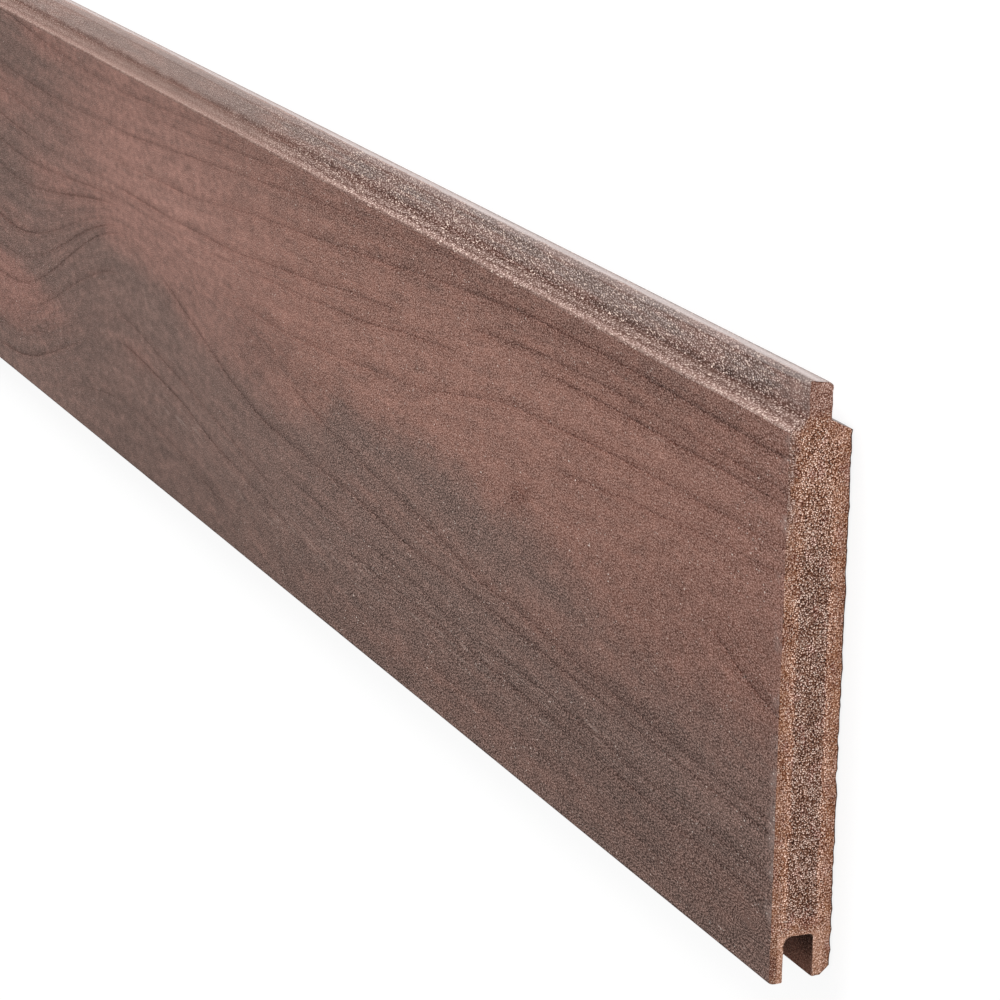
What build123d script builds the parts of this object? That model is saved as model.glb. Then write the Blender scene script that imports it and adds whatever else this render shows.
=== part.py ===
from build123d import *

import os

# Composite fence board with a tongue along one long edge and a groove along the other.
# It is one extruded length of wood-plastic composite, sawn square at both ends, and lies on its
# back: X runs along the board, +Y points to the tongue and +Z is the show face's outward normal.
# The origin is under the board's middle, on the back face's plane. All sizes are in millimetres.

# The stock
board_length = 1800.0
board_thickness = 18.0
cover_width = 150.0

# The tongue, from its root on the show side, and the shoulder left beside it on that side
tongue_thickness = 6.8
tongue_height = 9.4
tongue_top_fall = 0.9
show_ledge = 5.2

# How loosely a tongue sits in the groove of the next board
tongue_show_gap = 1.0
tongue_back_gap = 0.4
tongue_end_gap = 2.6
back_seat_gap = 1.1

# Both shoulders fall away from the tongue, and the back lip stops short of the show lip
show_shoulder_fall = 2.8
back_shoulder_fall = 3.1
back_lip_rise = 0.4
lip_bevel_width = 2.9
lip_bevel_height = 2.4

# Corner radii
show_lip_round = 1.4
show_shoulder_round = 0.7
tongue_show_round = 0.6
tongue_back_round = 1.5
root_round = 0.4
back_edge_round = 0.5
lip_tip_round = 0.5
groove_show_round = 2.2
groove_back_round = 1.0

# Distances up from the back face
tongue_show_side = board_thickness - show_ledge
tongue_back_side = tongue_show_side - tongue_thickness
groove_show_wall = tongue_show_side + tongue_show_gap
groove_back_wall = tongue_back_side - tongue_back_gap
back_ledge = tongue_back_side

# Heights above the show lip's bottom edge. The show lip of the next board rests on the shoulder,
# one cover width above this board's own show lip, and its back lip stays clear by the seat gap.
show_root = cover_width + show_shoulder_fall * tongue_show_gap / show_ledge
show_edge = show_root - show_shoulder_fall
back_lip = back_lip_rise
back_seat = cover_width + back_lip - back_seat_gap
back_root = back_seat + back_shoulder_fall * tongue_back_gap / back_ledge
back_edge = back_root - back_shoulder_fall
tongue_top = show_root + tongue_height
groove_ceiling = tongue_top - cover_width + tongue_end_gap

# The section is centred across the board
middle = tongue_top / 2

# Each corner of the section, from the show lip round by the tongue and the back to the groove:
# height above the show lip, distance up from the back face, corner radius
corners = [
    (0.0, board_thickness, show_lip_round),
    (show_edge, board_thickness, show_shoulder_round),
    (show_root, tongue_show_side, root_round),
    (tongue_top, tongue_show_side, tongue_show_round),
    (tongue_top - tongue_top_fall, tongue_back_side, tongue_back_round),
    (back_root, tongue_back_side, root_round),
    (back_edge, 0.0, back_edge_round),
    (back_lip + lip_bevel_height, 0.0, back_edge_round),
    (back_lip, lip_bevel_width, lip_tip_round),
    (back_lip, groove_back_wall, lip_tip_round),
    (groove_ceiling, groove_back_wall, groove_back_round),
    (groove_ceiling, groove_show_wall, groove_show_round),
    (0.0, groove_show_wall, lip_tip_round),
]

with BuildPart() as fence_board:
    with BuildSketch(Plane.YZ):
        with BuildLine():
            FilletPolyline(
                *[(height - middle, depth) for height, depth, radius in corners],
                radius=[radius for height, depth, radius in corners],
                close=True,
            )
        make_face()
    extrude(amount=board_length / 2, both=True)

fence_board.part.label = "fence_board"

os.makedirs("parts", exist_ok=True)
export_step(fence_board.part, "parts/fence_board.step")
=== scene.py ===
import math

import bpy
import numpy as np
from mathutils import Matrix, Vector
from mathutils.geometry import delaunay_2d_cdt


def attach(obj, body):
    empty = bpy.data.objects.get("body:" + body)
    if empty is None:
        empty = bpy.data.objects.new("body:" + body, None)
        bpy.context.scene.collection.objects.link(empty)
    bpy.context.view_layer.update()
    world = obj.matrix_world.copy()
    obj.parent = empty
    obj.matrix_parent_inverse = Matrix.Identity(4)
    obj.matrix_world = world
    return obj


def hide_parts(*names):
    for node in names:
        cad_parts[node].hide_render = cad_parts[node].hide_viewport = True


# Composite fence board: an extruded length of wood-plastic composite with a tongue along one long
# edge, a groove along the other, a pressed wood grain on its show face and two sawn ends.
# The board is one closed skin. Along it, places are given as the distance from the +X sawn end.
# Across it they are given as the height above the bottom edge of the show lip. Both are in
# millimetres, as on the drawing, and become metres when the mesh is made.

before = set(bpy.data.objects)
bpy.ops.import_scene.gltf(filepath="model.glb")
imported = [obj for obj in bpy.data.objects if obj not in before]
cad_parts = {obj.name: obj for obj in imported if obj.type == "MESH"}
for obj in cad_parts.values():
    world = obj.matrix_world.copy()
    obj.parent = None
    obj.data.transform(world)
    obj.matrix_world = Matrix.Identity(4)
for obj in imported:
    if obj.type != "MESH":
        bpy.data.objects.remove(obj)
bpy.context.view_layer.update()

millimetre = 0.001

# The stock
board_length = 1800.0
board_thickness = 18.0
middle_height = 79.969

# Corners of the section from the show shoulder round by the tongue, the back and the groove to the
# show lip: height above the show lip, distance up from the back, radius, points on the arc
show_shoulder = (147.738, 18.0, 0.7, 4)
show_lip = (0.0, 18.0, 1.4, 6)
section_corners = [
    show_shoulder,
    (150.538, 12.8, 0.4, 3),
    (159.938, 12.8, 0.6, 5),
    (159.038, 6.0, 1.5, 7),
    (149.507, 6.0, 0.4, 3),
    (146.407, 0.0, 0.5, 4),
    (2.8, 0.0, 0.5, 3),
    (0.4, 2.9, 0.5, 3),
    (0.4, 5.6, 0.5, 4),
    (12.538, 5.6, 1.0, 5),
    (12.538, 13.8, 2.2, 7),
    (0.0, 13.8, 0.5, 4),
    show_lip,
]

# Points on the straight runs that leave those corners, in the same order
run_points = [4, 7, 4, 6, 3, 100, 1, 1, 5, 5, 5, 2]

# What each run is part of: the parts of the skin take different finishes
shoulder_zone = 1
tongue_zone = 2
back_zone = 3
groove_zone = 4
end_zone = 5
face_zone = 0
run_zones = [
    shoulder_zone,
    tongue_zone,
    tongue_zone,
    tongue_zone,
    tongue_zone,
    back_zone,
    back_zone,
    back_zone,
    groove_zone,
    groove_zone,
    groove_zone,
    face_zone,
]

# Grain lines of the show face from the bottom up, as places along each: distance from the sawn
# end, height above the show lip. A line that leaves the face runs on outside it.
grain_lines = [
    [(0, -26), (150, -20), (300, -4), (350, 3), (400, 13), (437, 18), (465, 22.2), (510, 23.8)],
    [(0, 10.5), (73, 12.2), (140, 14.7), (223, 14.7), (290, 18.5), (353, 25.5), (378, 28.8),
     (420, 33.8), (453, 40.5), (510, 46)],
    [(0, 22.2), (73, 25), (107, 26.7), (173, 28.8), (240, 30.8), (290, 31.3), (340, 32.8),
     (367, 34.7), (403, 40.5), (437, 46), (478, 51.3), (510, 56.3)],
    [(0, 29.3), (90, 31.7), (157, 34.7), (190, 33.8), (223, 35.5), (248, 38.5), (300, 39.5),
     (353, 42), (400, 49), (437, 56), (470, 64), (510, 73)],
    [(0, 41.3), (57, 42.2), (123, 44.3), (190, 47.2), (248, 48.4), (287, 51.7), (320, 52.7),
     (370, 55), (403, 61.3), (437, 71), (470, 80.5), (510, 88)],
    [(0, 44.7), (57, 46.7), (123, 49.7), (157, 52.2), (190, 53), (223, 58.8), (278, 63.8),
     (312, 68), (342, 73.8), (400, 80.5), (450, 85.5), (510, 90.5)],
    [(0, 73), (7, 74.7), (20, 78), (32, 83), (40, 86.3), (60, 89.5), (120, 88), (180, 83.5),
     (223, 81.4), (273, 78), (330, 79), (400, 84), (460, 88.5), (510, 92.8)],
    [(0, 110.5), (40, 108.8), (73, 106.3), (107, 103.8), (137, 100.8), (200, 93.5), (260, 88.5),
     (330, 86.5), (400, 87.3), (460, 91), (510, 95)],
    [(0, 117.7), (73, 116.3), (107, 115), (157, 112.7), (173, 111.3), (193, 107.7), (232, 100.5),
     (295, 94.3), (345, 90.6), (403, 90.2), (460, 94), (510, 97.5)],
    [(0, 128.8), (90, 128.3), (148, 127.2), (180, 123), (207, 118.3), (248, 114.7), (278, 110.5),
     (337, 106.3), (395, 103), (445, 100.5), (510, 100.5)],
    [(0, 132.2), (57, 133), (98, 133.2), (148, 132), (198, 127.5), (253, 119.7), (287, 118),
     (320, 113.8), (353, 111.3), (395, 107.2), (470, 105), (510, 104.8)],
    [(0, 140.5), (90, 141.7), (157, 141), (173, 140), (207, 137.7), (240, 135.2), (263, 132.6),
     (287, 131.3), (320, 128.3), (370, 124.7), (412, 120.5), (437, 117.7), (510, 114.7)],
    [(0, 166), (120, 150), (198, 146.3), (270, 143.3), (320, 140.5), (387, 135.5), (445, 131.3),
     (478, 128.8), (510, 126.3)],
    [(0, 174), (200, 156), (300, 147.5), (353, 144.7), (420, 140.8), (470, 138), (510, 135.2)],
    [(0, 182), (250, 156), (340, 147.8), (387, 146.3), (437, 144.7), (510, 141.3)],
]

# Where each grain line is pressed in, and how strongly: from, to, strength
pressed_stretches = [
    [(400, 530, 0.5)],
    [(30, 235, 0.4), (340, 440, 0.6), (400, 530, 0.85)],
    [(-20, 300, 0.65), (355, 530, 0.75)],
    [(-20, 365, 0.65)],
    [(-20, 480, 1.0)],
    [(-20, 350, 0.8)],
    [(-20, 46, 1.0), (215, 280, 0.35)],
    [(-20, 145, 0.6)],
    [(-20, 230, 0.75), (200, 415, 0.55)],
    [(-20, 155, 0.8), (200, 380, 0.75), (350, 530, 0.35)],
    [(-20, 205, 0.75), (245, 530, 0.8)],
    [(-20, 280, 0.9), (255, 400, 0.75), (380, 530, 0.65)],
    [(190, 530, 0.75)],
    [(345, 440, 0.65), (420, 530, 0.25)],
    [(380, 530, 0.5)],
]

# The lines were read at their lit upper edges. Those lie the first amount above the lines'
# middles near the sawn end, and the second one more further on.
line_drop = 0.45
far_line_drop = 0.3

# A pressed line's half width and depth, and how far the stain reaches from the lowest line and
# from the highest one
groove_half_width = 0.65
groove_depth = 0.16
narrow_stain = 1.1
wide_stain = 2.3

# The face is red-brown above this line and grey-brown below it
grey_edge = [(0, 49), (60, 50), (98, 54), (115, 62), (130, 71), (160, 77), (200, 80), (260, 81),
             (300, 78), (318, 67), (350, 62), (400, 63), (440, 67), (455, 72), (475, 79), (513, 82)]

# Soft patches: distance from the sawn end, height, half length, half height, amount
red_patches = [
    (235, 55, 62, 5, 0.35),
    (130, 54, 42, 9, 0.55),
    (500, 45, 22, 5, 0.45),
    (200, 10, 120, 8, 0.3),
    (30, 16, 45, 8, 0.25),
    (60, 112, 90, 22, 0.3),
    (300, 145, 260, 5, -0.25),
    (345, 97, 40, 5, 0.2),
    (180, 26, 60, 4, 0.15),
    (410, 76, 100, 12, -0.35),
    (300, 134, 220, 6, -0.2),
    (65, 143, 30, 5, -0.25),
]
light_patches = [
    (35, 43, 45, 7, 0.6),
    (45, 30, 40, 10, 0.35),
    (60, 107, 60, 8, 0.3),
    (460, 106, 50, 7, 0.35),
    (430, 135, 90, 5, 0.35),
    (20, 88, 15, 5, -0.4),
    (340, 79, 40, 5, -0.4),
    (480, 112, 110, 24, 0.8),
    (270, 105, 140, 18, 0.3),
    (270, 88, 60, 4, 0.35),
    (150, 122, 120, 7, 0.3),
    (130, 145, 260, 12, -0.45),
    (415, 79, 14, 5, 0.45),
    (360, 68, 30, 6, 0.3),
    (90, 30, 120, 14, -0.4),
    (90, 48, 60, 5, -0.3),
    (20, 20, 60, 16, -0.35),
    (380, 42, 70, 5, 0.2),
    (280, 25, 40, 4, 0.25),
    (160, 24, 30, 3, 0.3),
    (200, 6, 420, 14, -0.6),
    (190, 26, 130, 9, -0.4),
    (0, 75, 130, 60, -0.6),
    (90, 70, 50, 12, -0.3),
    (480, 60, 60, 14, 0.3),
    (385, 80, 35, 7, -0.4),
]

# Where pale streaks lie along the grain
streaky_patches = [
    (215, 29, 90, 6, 1.0),
    (110, 33, 60, 5, 0.7),
    (330, 24, 60, 6, 0.5),
    (455, 34, 45, 5, 0.5),
    (60, 127, 40, 5, 0.5),
]

# The photographed stretch ends here. The grain runs on from it by formula, after a blend
drawn_stretch = 510.0
blend_stretch = 150.0

# Long eyes in the grain past it: distance from the sawn end, height, strength, width, reach
long_eyes = [
    (820.0, 52.0, 0.95, 17.0, 120.0),
    (1130.0, 101.0, 1.1, 15.0, 150.0),
    (1420.0, 40.0, 0.9, 19.0, 130.0),
    (1660.0, 96.0, 0.8, 16.0, 110.0),
]


# Smooth random heights

def soft_noise(u, v, seed):
    """Value noise from -1 to 1: random heights on a unit lattice, blended by a smooth step.

    Each use has a seed of its own.
    """
    lattice = 256
    table = np.random.default_rng(seed).uniform(-1.0, 1.0, (lattice, lattice))
    column = np.floor(u).astype(int)
    row = np.floor(v).astype(int)
    across = u - column
    up = v - row
    across = across * across * (3.0 - 2.0 * across)
    up = up * up * (3.0 - 2.0 * up)
    left = column % lattice
    right = (column + 1) % lattice
    below = row % lattice
    above = (row + 1) % lattice
    on_left = table[left, below] * (1.0 - up) + table[left, above] * up
    on_right = table[right, below] * (1.0 - up) + table[right, above] * up
    return on_left * (1.0 - across) + on_right * across


def unit_noise(u, v, seed):
    """Value noise from 0 to 1."""
    return 0.5 + 0.5 * soft_noise(u, v, seed)


def smooth_step(low, high, value):
    """0 below low, 1 above high, and 3t^2 - 2t^3 between them."""
    t = np.clip((value - low) / (high - low), 0.0, 1.0)
    return t * t * (3.0 - 2.0 * t)


# The section

def arc_points(before, corner, after):
    """Points on the arc of the corner's radius that touches both of its runs.

    The arc starts radius / tan(half the corner's angle) back along the first run, and its centre
    lies on the line that halves the angle.
    """
    place = np.array(corner[:2])
    back = np.array(before[:2]) - place
    ahead = np.array(after[:2]) - place
    back = back / np.linalg.norm(back)
    ahead = ahead / np.linalg.norm(ahead)
    half_angle = math.acos(np.clip(back @ ahead, -1.0, 1.0)) / 2.0
    radius = corner[2]
    inward = (back + ahead) / np.linalg.norm(back + ahead)
    centre = place + inward * radius / math.sin(half_angle)
    start = place + back * radius / math.tan(half_angle) - centre
    end = place + ahead * radius / math.tan(half_angle) - centre
    swing = math.atan2(start[0] * end[1] - start[1] * end[0], start @ end)
    turn = np.linspace(0.0, swing, corner[3])
    return centre + np.stack(
        [start[0] * np.cos(turn) - start[1] * np.sin(turn),
         start[0] * np.sin(turn) + start[1] * np.cos(turn)], axis=1)


def section_outline():
    """The outline apart from the show face: heights, distances up from the back, and zones.

    Each corner gives its arc, and each run between two arcs gives evenly spaced points. An arc
    is in the zone of the run that leaves it, and the last one in the zone of the last run.
    """
    count = len(section_corners)
    arcs = [arc_points(section_corners[i - 1], section_corners[i], section_corners[(i + 1) % count])
            for i in range(count)]
    points = []
    zones = []
    for i in range(count):
        points.append(arcs[i])
        zone = run_zones[min(i, count - 2)]
        zones.append(np.full(len(arcs[i]), zone))
        if i < count - 1:
            along = np.linspace(0.0, 1.0, run_points[i] + 2)[1:-1, None]
            points.append(arcs[i][-1] * (1.0 - along) + arcs[i + 1][0] * along)
            zones.append(np.full(run_points[i], zone))
    return np.concatenate(points), np.concatenate(zones)


# The show face's grain

def run_on(drawn, far, distance, blend=blend_stretch):
    """The drawn values as far as the drawn stretch goes, and the far ones from a blend past it."""
    past = smooth_step(drawn_stretch, drawn_stretch + blend, distance)
    return drawn * (1.0 - past) + far * past


def generic_line(level, distance):
    """A grain line past the drawn stretch: its level, pushed away from a few long eyes.

    Each eye pushes a line by strength x offset / (1 + (offset / width)^2), where offset is the
    line's height over the eye, and the push dies off as a bell along the board.
    """
    height = np.full_like(distance, level)
    for along, up, strength, width, reach in long_eyes:
        offset = level - up
        push = strength * offset / (1.0 + (offset / width) ** 2)
        height = height + push * np.exp(-((distance - along) / reach) ** 2)
    sway = 3.2 * np.sin(distance / 151.0 + level / 60.0) + 1.4 * np.sin(distance / 67.0 + level / 45.0)
    return height + sway


def line_heights(distance):
    """Height of every grain line at every station, kept in order and inside the face."""
    count = len(grain_lines)
    levels = np.linspace(4.0, 144.0, count)
    rows = []
    drop = line_drop + far_line_drop * smooth_step(150.0, 300.0, distance)
    for line, level in zip(grain_lines, levels):
        along, height = np.array(line, dtype=float).T
        drawn = smooth_curve(along, height, distance) - drop
        rows.append(run_on(drawn, generic_line(level, distance), distance))
    heights = np.array(rows)
    least_gap = 1.3
    edge_gap = 0.35
    for i in range(1, count):
        heights[i] = np.maximum(heights[i], heights[i - 1] + least_gap)
    low = face_low + edge_gap * (1 + np.arange(count))[:, None]
    high = face_high - edge_gap * (count - np.arange(count))[:, None]
    return np.clip(heights, low, high)


def smooth_curve(along, height, distance):
    """The line through the places, with its corners softened by a bell."""
    bell_width = 9.0
    reach = np.arange(-24.0, 25.0, 4.0)
    weight = np.exp(-(reach / bell_width) ** 2)
    samples = np.interp(distance[:, None] + reach[None, :], along, height)
    return (samples * weight).sum(axis=1) / weight.sum()


def press_strength(index, distance):
    """How strongly a grain line is pressed at each station: its stretches, with soft ends."""
    soft_end = 18.0
    strength = np.zeros_like(distance)
    for start, end, amount in pressed_stretches[index]:
        rise = smooth_step(start, start + soft_end, distance)
        fall = 1.0 - smooth_step(end - soft_end, end, distance)
        strength = np.maximum(strength, amount * rise * fall)
    far = 0.55 + 0.75 * soft_noise(distance / 130.0, np.full_like(distance, index * 3.7), 11)
    strength = run_on(strength, np.clip(far, 0.0, 1.0), distance, blend=40.0)
    waver = 0.85 + 0.3 * soft_noise(distance / 23.0, np.full_like(distance, index * 5.1), 12)
    return np.clip(strength * waver, 0.0, 1.0)


def patch_sum(patches, distance, height):
    """Sum of bells: amount x exp(-(distance / half length)^2 - (height / half height)^2)."""
    total = np.zeros_like(distance)
    for along, up, half_length, half_height, amount in patches:
        total = total + amount * np.exp(-((distance - along) / half_length) ** 2
                                        - ((height - up) / half_height) ** 2)
    return total


def redness(distance, height):
    """0 where the skin is grey-brown, 1 where it is red-brown.

    Over the drawn stretch it steps up across the grey edge; past it, long patches of noise do.
    """
    edge = np.interp(distance, *np.array(grey_edge, dtype=float).T)
    waver = 3.5 * soft_noise(distance / 22.0, height / 30.0, 41)
    spread = 8.0 + 24.0 * (1.0 - smooth_step(90.0, 190.0, distance))
    drawn = smooth_step(edge - 9.0, edge + spread, height + waver)
    drawn = drawn + patch_sum(red_patches, distance, height)
    field = soft_noise(distance / 240.0, height / 42.0 + 0.4 * np.sin(distance / 310.0), 42)
    field = field + 0.45 * soft_noise(distance / 75.0, height / 13.0, 43)
    far = 1.1 * smooth_step(-0.32, 0.28, field)
    return run_on(drawn, far, distance)


def sandiness(distance, height):
    """How rough the sandy texture looks: fullest a short way from the sawn end, soft further on."""
    drawn = 1.0 + 0.2 * smooth_step(80.0, 230.0, distance) - 0.9 * smooth_step(260.0, 470.0, distance)
    far = 0.72 + 0.25 * soft_noise(distance / 160.0, height / 40.0, 46)
    return run_on(drawn, far, distance)


def lightness(distance, height):
    """How much paler (above 0) or darker the skin is than its colour."""
    drawn = patch_sum(light_patches, distance, height)
    far = 0.45 * soft_noise(distance / 190.0, height / 26.0, 44)
    far = far + 0.2 * soft_noise(distance / 60.0, height / 9.0, 45)
    return run_on(drawn, far, distance)


# Columns across a line's groove: offsets in its half widths, and shares of its depth
groove_offsets = np.array([-1.0, -0.5, 0.0, 0.5, 1.0])
groove_profile = np.array([0.0, 0.55, 1.0, 0.55, 0.0])

# Columns in each gap between lines, and in the gaps where the lines open wide
fills_between = 4
fills_in_opening = 7
opening_gaps = (5, 6, 7)

# The flow level rises this much from one line to the next, and by this share of it from a line's
# middle to its groove's edge
level_step = 9.4
groove_share = 0.06

# The show face lies between the ends of the arcs beside it
first_arc = arc_points(section_corners[-1], section_corners[0], section_corners[1])
last_arc = arc_points(section_corners[-2], section_corners[-1], section_corners[0])
face_low = last_arc[-1][0]
face_high = first_arc[0][0]


def stain_near(lines, strengths, heights):
    """The stain at each column: the most that any line gives, which dies off from it as a bell."""
    reach = np.linspace(narrow_stain, wide_stain, len(lines))[:, None, None]
    away = (heights[None, :, :] - lines[:, None, :]) / reach
    return (strengths[:, None, :] * np.exp(-away ** 2)).max(axis=0)


def face_columns(distance):
    """The show face's columns at every station: heights, pressed depth, stain, and flow level.

    Five columns follow each grain line across its groove, and evenly spaced columns fill the gap
    to the next line, so every column runs with the grain.
    """
    lines = line_heights(distance)
    count = len(lines)
    strengths = np.array([press_strength(i, distance) for i in range(count)])
    edges = np.concatenate([[np.full_like(distance, face_low)], lines,
                            [np.full_like(distance, face_high)]])
    gaps = np.diff(edges, axis=0)
    half = np.zeros_like(edges)
    half[1:-1] = np.minimum(groove_half_width, 0.3 * np.minimum(gaps[:-1], gaps[1:]))
    heights = []
    pressed = []
    levels = []
    for i in range(count + 1):
        lower = edges[i] + half[i]
        upper = edges[i + 1] - half[i + 1]
        fills = fills_in_opening if i in opening_gaps else fills_between
        for part in np.arange(1, fills + 1) / (fills + 1.0):
            heights.append(lower + (upper - lower) * part)
            pressed.append(np.zeros_like(distance))
            levels.append(i + part)
        if i < count:
            for offset, depth in zip(groove_offsets, groove_profile):
                heights.append(edges[i + 1] + offset * half[i + 1])
                pressed.append(strengths[i] * depth)
                levels.append(i + 1.0 + offset * groove_share)
    heights = np.array(heights)
    stain = stain_near(lines, strengths, heights)
    return heights.T, np.array(pressed).T, stain.T, np.array(levels) * level_step


def stations():
    """The rings' distances from the sawn end: closest at both ends, and closer on the near part."""
    start = np.array([0.0, 0.15, 0.35, 0.7, 1.2, 2.0, 3.2, 5.0])
    near_step = 5.0
    far_count = 98
    near = np.arange(8.0, 560.0, near_step)
    far = np.linspace(563.0, board_length - 8.0, far_count)
    return np.concatenate([start, near, far, board_length - start[::-1]])


# The skin

# Depths of its soft relief: the face's swell and pits, the back's level, wave and pits
swell_depth = 0.05
face_pit_depth = 0.03
back_level = 0.03
back_wave_depth = 0.2
back_pit_depth = 0.04

# How far the rims of the saw cuts are worn all round, and how far the wear reaches from a cut:
# where it sinks the skin, and where it sets the rim back along the board
rim_wear = 0.04
sink_reach = 0.6
set_back_reach = 1.6

# Chips on the show side's sawn rim: height, half width, depth
rim_chips = [
    (140.6, 1.4, 1.1),
    (126.5, 1.0, 0.6),
    (117.3, 1.3, 0.9),
    (110.8, 1.6, 1.1),
    (97.5, 1.2, 0.8),
    (85.0, 1.1, 0.7),
    (62.0, 1.0, 0.5),
    (42.0, 1.2, 0.7),
    (22.0, 1.0, 0.5),
]

# Burrs on the back's sawn rim: height, half width
back_burrs = [
    (146.6, 1.0),
    (141.0, 0.8),
    (126.0, 1.2),
    (104.0, 2.0),
    (84.0, 1.5),
    (63.0, 0.9),
    (50.0, 1.6),
    (37.5, 0.9),
    (32.0, 0.9),
    (18.8, 1.0),
    (12.7, 1.1),
    (7.2, 0.9),
]


def ring_arrays():
    """Every ring of the skin as arrays of stations by columns, in millimetres.

    A ring is the show face's columns followed by the rest of the outline. The last array is the
    distance round the ring, which starts as the height on the show face and comes back to it at
    the show lip, so that it runs evenly over every visible edge.
    """
    distance = stations()
    face, pressed, stain, flow = face_columns(distance)
    outline, zones = section_outline()
    shape = (len(distance), len(outline))
    height = np.concatenate([face, np.broadcast_to(outline[:, 0], shape)], axis=1)
    depth = np.concatenate([np.full_like(face, board_thickness),
                            np.broadcast_to(outline[:, 1], shape)], axis=1)
    grain = np.concatenate([pressed, np.zeros(shape)], axis=1)
    stain = np.concatenate([stain, np.zeros(shape)], axis=1)
    along = np.broadcast_to(distance[:, None], height.shape).copy()
    zone = np.concatenate([np.full(face.shape[1], face_zone), zones])
    around = np.cumsum(np.hypot(np.diff(height[0], prepend=height[0, 0]),
                                np.diff(depth[0], prepend=depth[0, 0])))
    level = np.concatenate([flow, around[face.shape[1]:]])
    start = height[0, 0]
    girth = np.broadcast_to(around + start, height.shape).copy()
    girth[:, :face.shape[1]] = face
    lip_start = len(zone) - np.argmax(zone[::-1] != face_zone)
    girth[:, lip_start:] += face_low - start - around[-1]
    return along, height, depth, grain, stain, zone, around, level, girth


def outward(height, depth):
    """Unit normals of the rings: the line between both neighbours, turned a quarter left."""
    run_height = np.roll(height, -1, axis=1) - np.roll(height, 1, axis=1)
    run_depth = np.roll(depth, -1, axis=1) - np.roll(depth, 1, axis=1)
    size = np.hypot(run_height, run_depth)
    return -run_depth / size, run_height / size


def edge_wear(along, height, depth):
    """How far edges are worn down: the shoulder's outer edge in long soft waves, most near the
    sawn end, and the tongue's back edge evenly. Both die off as bells.
    """
    wave = unit_noise(along / 27.0, along * 0.0 + 3.3, 26)
    wave = wave + 0.35 * soft_noise(along / 7.0, along * 0.0 + 8.1, 27)
    reach = np.exp(-((height - face_high) / 1.6) ** 2)
    amount = 0.08 + 0.3 * (1.0 - smooth_step(30.0, 150.0, along))
    tongue_back = 0.17 * np.exp(-((height - 159.2) / 1.6) ** 2 - ((depth - 6.4) / 2.0) ** 2)
    return amount * np.clip(wave, 0.0, 1.0) * reach * (depth > 15.0) + tongue_back


def burr_relief(height, depth):
    """How much less the back rim is worn where a burr stands out: bells round each burr's height."""
    total = np.zeros_like(height)
    for up, half_width in back_burrs:
        total = total + np.exp(-((height - up) / half_width) ** 2)
    return np.clip(total, 0.0, 1.0) * (depth < 3.0)


def chip_depth(along, height, depth):
    """How deep the rim is chipped: bells round each chip's height, on the show side of one end."""
    total = np.zeros_like(height)
    for up, half_width, amount in rim_chips:
        total = total + amount * np.exp(-((height - up) / half_width) ** 2)
    return total * (depth > board_thickness - 0.5) * (along < board_length / 2)


def ragged_rim(along, height, depth, zone, around):
    """How ragged the rims are: small teeth and a few larger bites of noise along each rim.

    The back's rim is rougher, but not where a burr stands out and less so at its corners.
    """
    end_row = np.where(along < board_length / 2, 0.5, 7.5)
    teeth = unit_noise(around[None, :] / 0.9, end_row, 22)
    bites = np.maximum(soft_noise(around[None, :] / 4.3, end_row, 25) - 0.35, 0.0)
    ragged = 0.2 * teeth + 0.65 * bites
    rough_back = 0.08 + 0.24 * teeth + 0.9 * bites
    rough_back = rough_back * (1.0 - burr_relief(height, depth))
    on_flat = smooth_step(3.2, 4.6, height) * (1.0 - smooth_step(144.6, 145.9, height))
    rough_back = np.minimum(rough_back, 0.22 + 0.8 * on_flat)
    return np.where(zone == back_zone, rough_back, ragged)


def relief(along, height, depth, grain, zone, around):
    """How far the skin lies inside the smooth section, and how far its rims are worn back.

    The show face has its pressed lines and a soft swell, and the back has a pressed wave. The
    ragged rims die off with the distance from the saw cut.
    """
    swell = unit_noise(along / 70.0, height / 24.0, 21)
    wave = unit_noise(along / 48.0, height / 6.5, 23)
    pits = unit_noise(along / 9.0, around[None, :] / 3.0, 24)
    face_sink = grain * groove_depth + swell_depth * swell + face_pit_depth * pits
    back_sink = back_level + back_wave_depth * wave ** 2 + back_pit_depth * pits
    sink = np.where(zone == back_zone, back_sink, face_sink)

    near_cut = np.minimum(along, board_length - along)
    ragged = ragged_rim(along, height, depth, zone, around)
    chips = chip_depth(along, height, depth)
    sink = sink + (rim_wear + ragged + 0.6 * chips) * np.exp(-near_cut / sink_reach)
    set_back = (rim_wear + 0.8 * ragged + chips) * np.exp(-near_cut / set_back_reach)
    return sink, np.where(along < board_length / 2, set_back, -set_back)


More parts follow.
